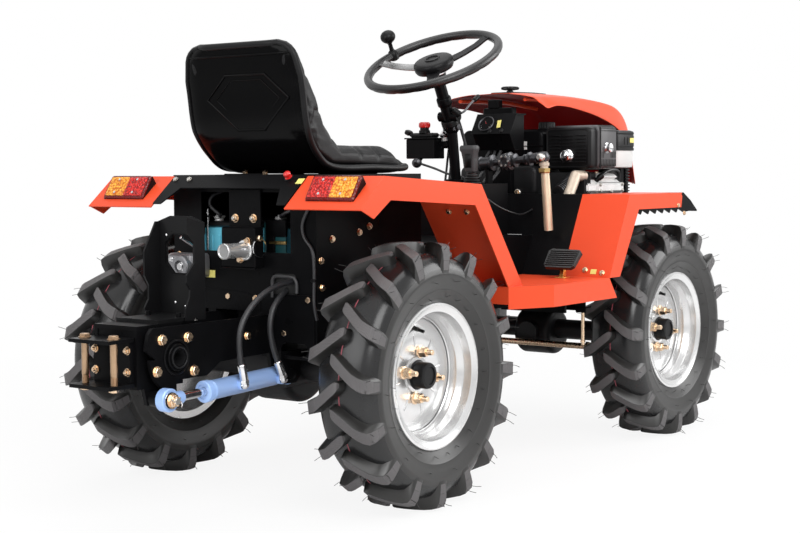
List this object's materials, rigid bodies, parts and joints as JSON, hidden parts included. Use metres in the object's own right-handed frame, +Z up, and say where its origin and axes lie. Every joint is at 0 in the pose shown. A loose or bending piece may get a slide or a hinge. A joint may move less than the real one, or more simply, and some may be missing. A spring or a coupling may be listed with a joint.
{
  "type": "garden tractor",
  "caption": "Compact garden tractor with driven wheels, steered front axle, front-hinged hood, open footboards, bucket seat and a hydraulic swinging rear hitch.",
  "frame": {"origin": "middle of the footprint on the ground, under the middle of the overall length", "axes": "+X forward, +Y to the driver's left, +Z up"},
  "size_m": [2.201, 0.98, 1.1825],
  "materials": {
    "red_paint": "gloss sheet metal paint",
    "black_paint": "satin black paint",
    "steel": "zinc-plated steel",
    "cast_metal": "grey castings",
    "tyre_rubber": "ribbed farm tyre rubber",
    "rim_paint": "silver wheel paint",
    "seat_vinyl": "padded black vinyl",
    "black_plastic": "moulded black plastic",
    "grey_plastic": "grey moulded plastic",
    "white_plastic": "white moulded plastic",
    "battery_case": "teal battery case",
    "lamp_glass": "red and amber lens",
    "head_lamp_glass": "clear lens",
    "engine_alloy": "die-cast alloy",
    "blue_paint": "pale blue cylinder paint",
    "rod_chrome": "hard chrome",
    "hose_rubber": "black hydraulic hose",
    "tail_pipe_steel": "heat-tinted steel"
  },
  "bodies": {
    "tractor": {"main_frame": "black_paint", "gearbox": "cast_metal", "front_axle": "cast_metal", "seat_box": "black_paint", "battery": "battery_case", "cross_bar": "black_paint", "rear_fenders": "red_paint", "tail_lamps": "lamp_glass", "footboards": "red_paint", "front_mudguards": "red_paint", "toothed_guards": "black_paint", "bulkhead": "black_paint", "console": "black_paint", "engine_deck": "black_paint", "engine": "engine_alloy", "air_box": "black_plastic", "cooling_cover": "grey_plastic", "oil_canister": "white_plastic", "fuel_tank": "black_plastic", "exhaust_pipe": "steel", "silencer": "steel", "tail_pipe": "tail_pipe_steel", "seat_pan": "black_plastic", "seat_cushion": "seat_vinyl", "steering_column": "black_paint", "instrument_box": "black_plastic", "control_box": "black_plastic", "gear_lever": "black_plastic", "brake_pedal": "tail_pipe_steel", "hitch_bracket": "black_paint", "lift_valve": "black_paint", "front_bumper": "black_paint"},
    "rear_left_wheel": {"rear_left_tyre": "tyre_rubber", "rear_left_rim": "rim_paint"},
    "rear_right_wheel": {"rear_right_tyre": "tyre_rubber", "rear_right_rim": "rim_paint"},
    "front_left_wheel": {"front_left_tyre": "tyre_rubber", "front_left_rim": "rim_paint"},
    "front_right_wheel": {"front_right_tyre": "tyre_rubber", "front_right_rim": "rim_paint"},
    "left_knuckle": {"left_knuckle": "cast_metal"},
    "right_knuckle": {"right_knuckle": "cast_metal"},
    "tie_rod": {"tie_rod": "steel"},
    "steering_wheel": {"steering_wheel": "black_plastic"},
    "hood": {"hood": "red_paint", "head_lamps": "head_lamp_glass"},
    "coupler": {"coupler": "black_paint", "coupler_tower": "black_paint", "coupler_pins": "steel"},
    "lift_barrel": {"cylinder_barrel": "blue_paint", "rear_hose": "hose_rubber", "front_hose": "hose_rubber"},
    "lift_rod": {"cylinder_rod": "rod_chrome"}
  },
  "joints": [
    {"name": "rear_left_wheel_spin", "type": "hinge", "parent": "tractor", "child": "rear_left_wheel", "pos_m": [-0.4555, 0.398, 0.31], "axis": [0, 1, 0], "continuous": true},
    {"name": "rear_right_wheel_spin", "type": "hinge", "parent": "tractor", "child": "rear_right_wheel", "pos_m": [-0.4555, -0.398, 0.31], "axis": [0, 1, 0], "continuous": true},
    {"name": "left_steer", "type": "hinge", "parent": "tractor", "child": "left_knuckle", "pos_m": [0.7655, 0.3, 0.29], "axis": [0, 0, 1], "range_deg": [-32, 32]},
    {"name": "right_steer", "type": "hinge", "parent": "tractor", "child": "right_knuckle", "pos_m": [0.7655, -0.3, 0.29], "axis": [0, 0, 1], "range_deg": [-32.5, 32.5]},
    {"name": "tie_rod_swing", "type": "hinge", "parent": "left_knuckle", "child": "tie_rod", "pos_m": [0.6405, 0.3, 0.258], "axis": [0, 0, 1], "range_deg": [-32.5, 32.5]},
    {"name": "front_left_wheel_spin", "type": "hinge", "parent": "left_knuckle", "child": "front_left_wheel", "pos_m": [0.7655, 0.398, 0.31], "axis": [0, 1, 0], "continuous": true},
    {"name": "front_right_wheel_spin", "type": "hinge", "parent": "right_knuckle", "child": "front_right_wheel", "pos_m": [0.7655, -0.398, 0.31], "axis": [0, 1, 0], "continuous": true},
    {"name": "steering_wheel_turn", "type": "hinge", "parent": "tractor", "child": "steering_wheel", "pos_m": [0.1835, 0, 1.086], "axis": [-0.4493, 0, 0.8934], "range_deg": [-481, 481]},
    {"name": "hood_open", "type": "hinge", "parent": "tractor", "child": "hood", "pos_m": [1.0495, 0, 0.716], "axis": [0, 1, 0], "range_deg": [0, 55]},
    {"name": "hitch_lift", "type": "hinge", "parent": "tractor", "child": "coupler", "pos_m": [-0.9265, 0, 0.378], "axis": [0, 1, 0], "range_deg": [-18, 18]},
    {"name": "barrel_swing", "type": "hinge", "parent": "tractor", "child": "lift_barrel", "pos_m": [-0.5855, -0.11, 0.306], "axis": [0, 1, 0], "range_deg": [-2.5, 2.5]},
    {"name": "rod_slide", "type": "slide", "parent": "lift_barrel", "child": "lift_rod", "axis": [-0.9993, 0, -0.0383], "range_m": [-0.0267, 0.0267]}
  ],
  "couplings": [
    {"joint": "right_steer", "follows": "left_steer", "ratio": 1},
    {"joint": "tie_rod_swing", "follows": "left_steer", "ratio": -1},
    {"joint": "steering_wheel_turn", "follows": "left_steer", "ratio": 15},
    {"joint": "barrel_swing", "follows": "hitch_lift", "ratio": 0.1354},
    {"joint": "rod_slide", "follows": "hitch_lift", "m_per_rad": 0.08443}
  ]
}
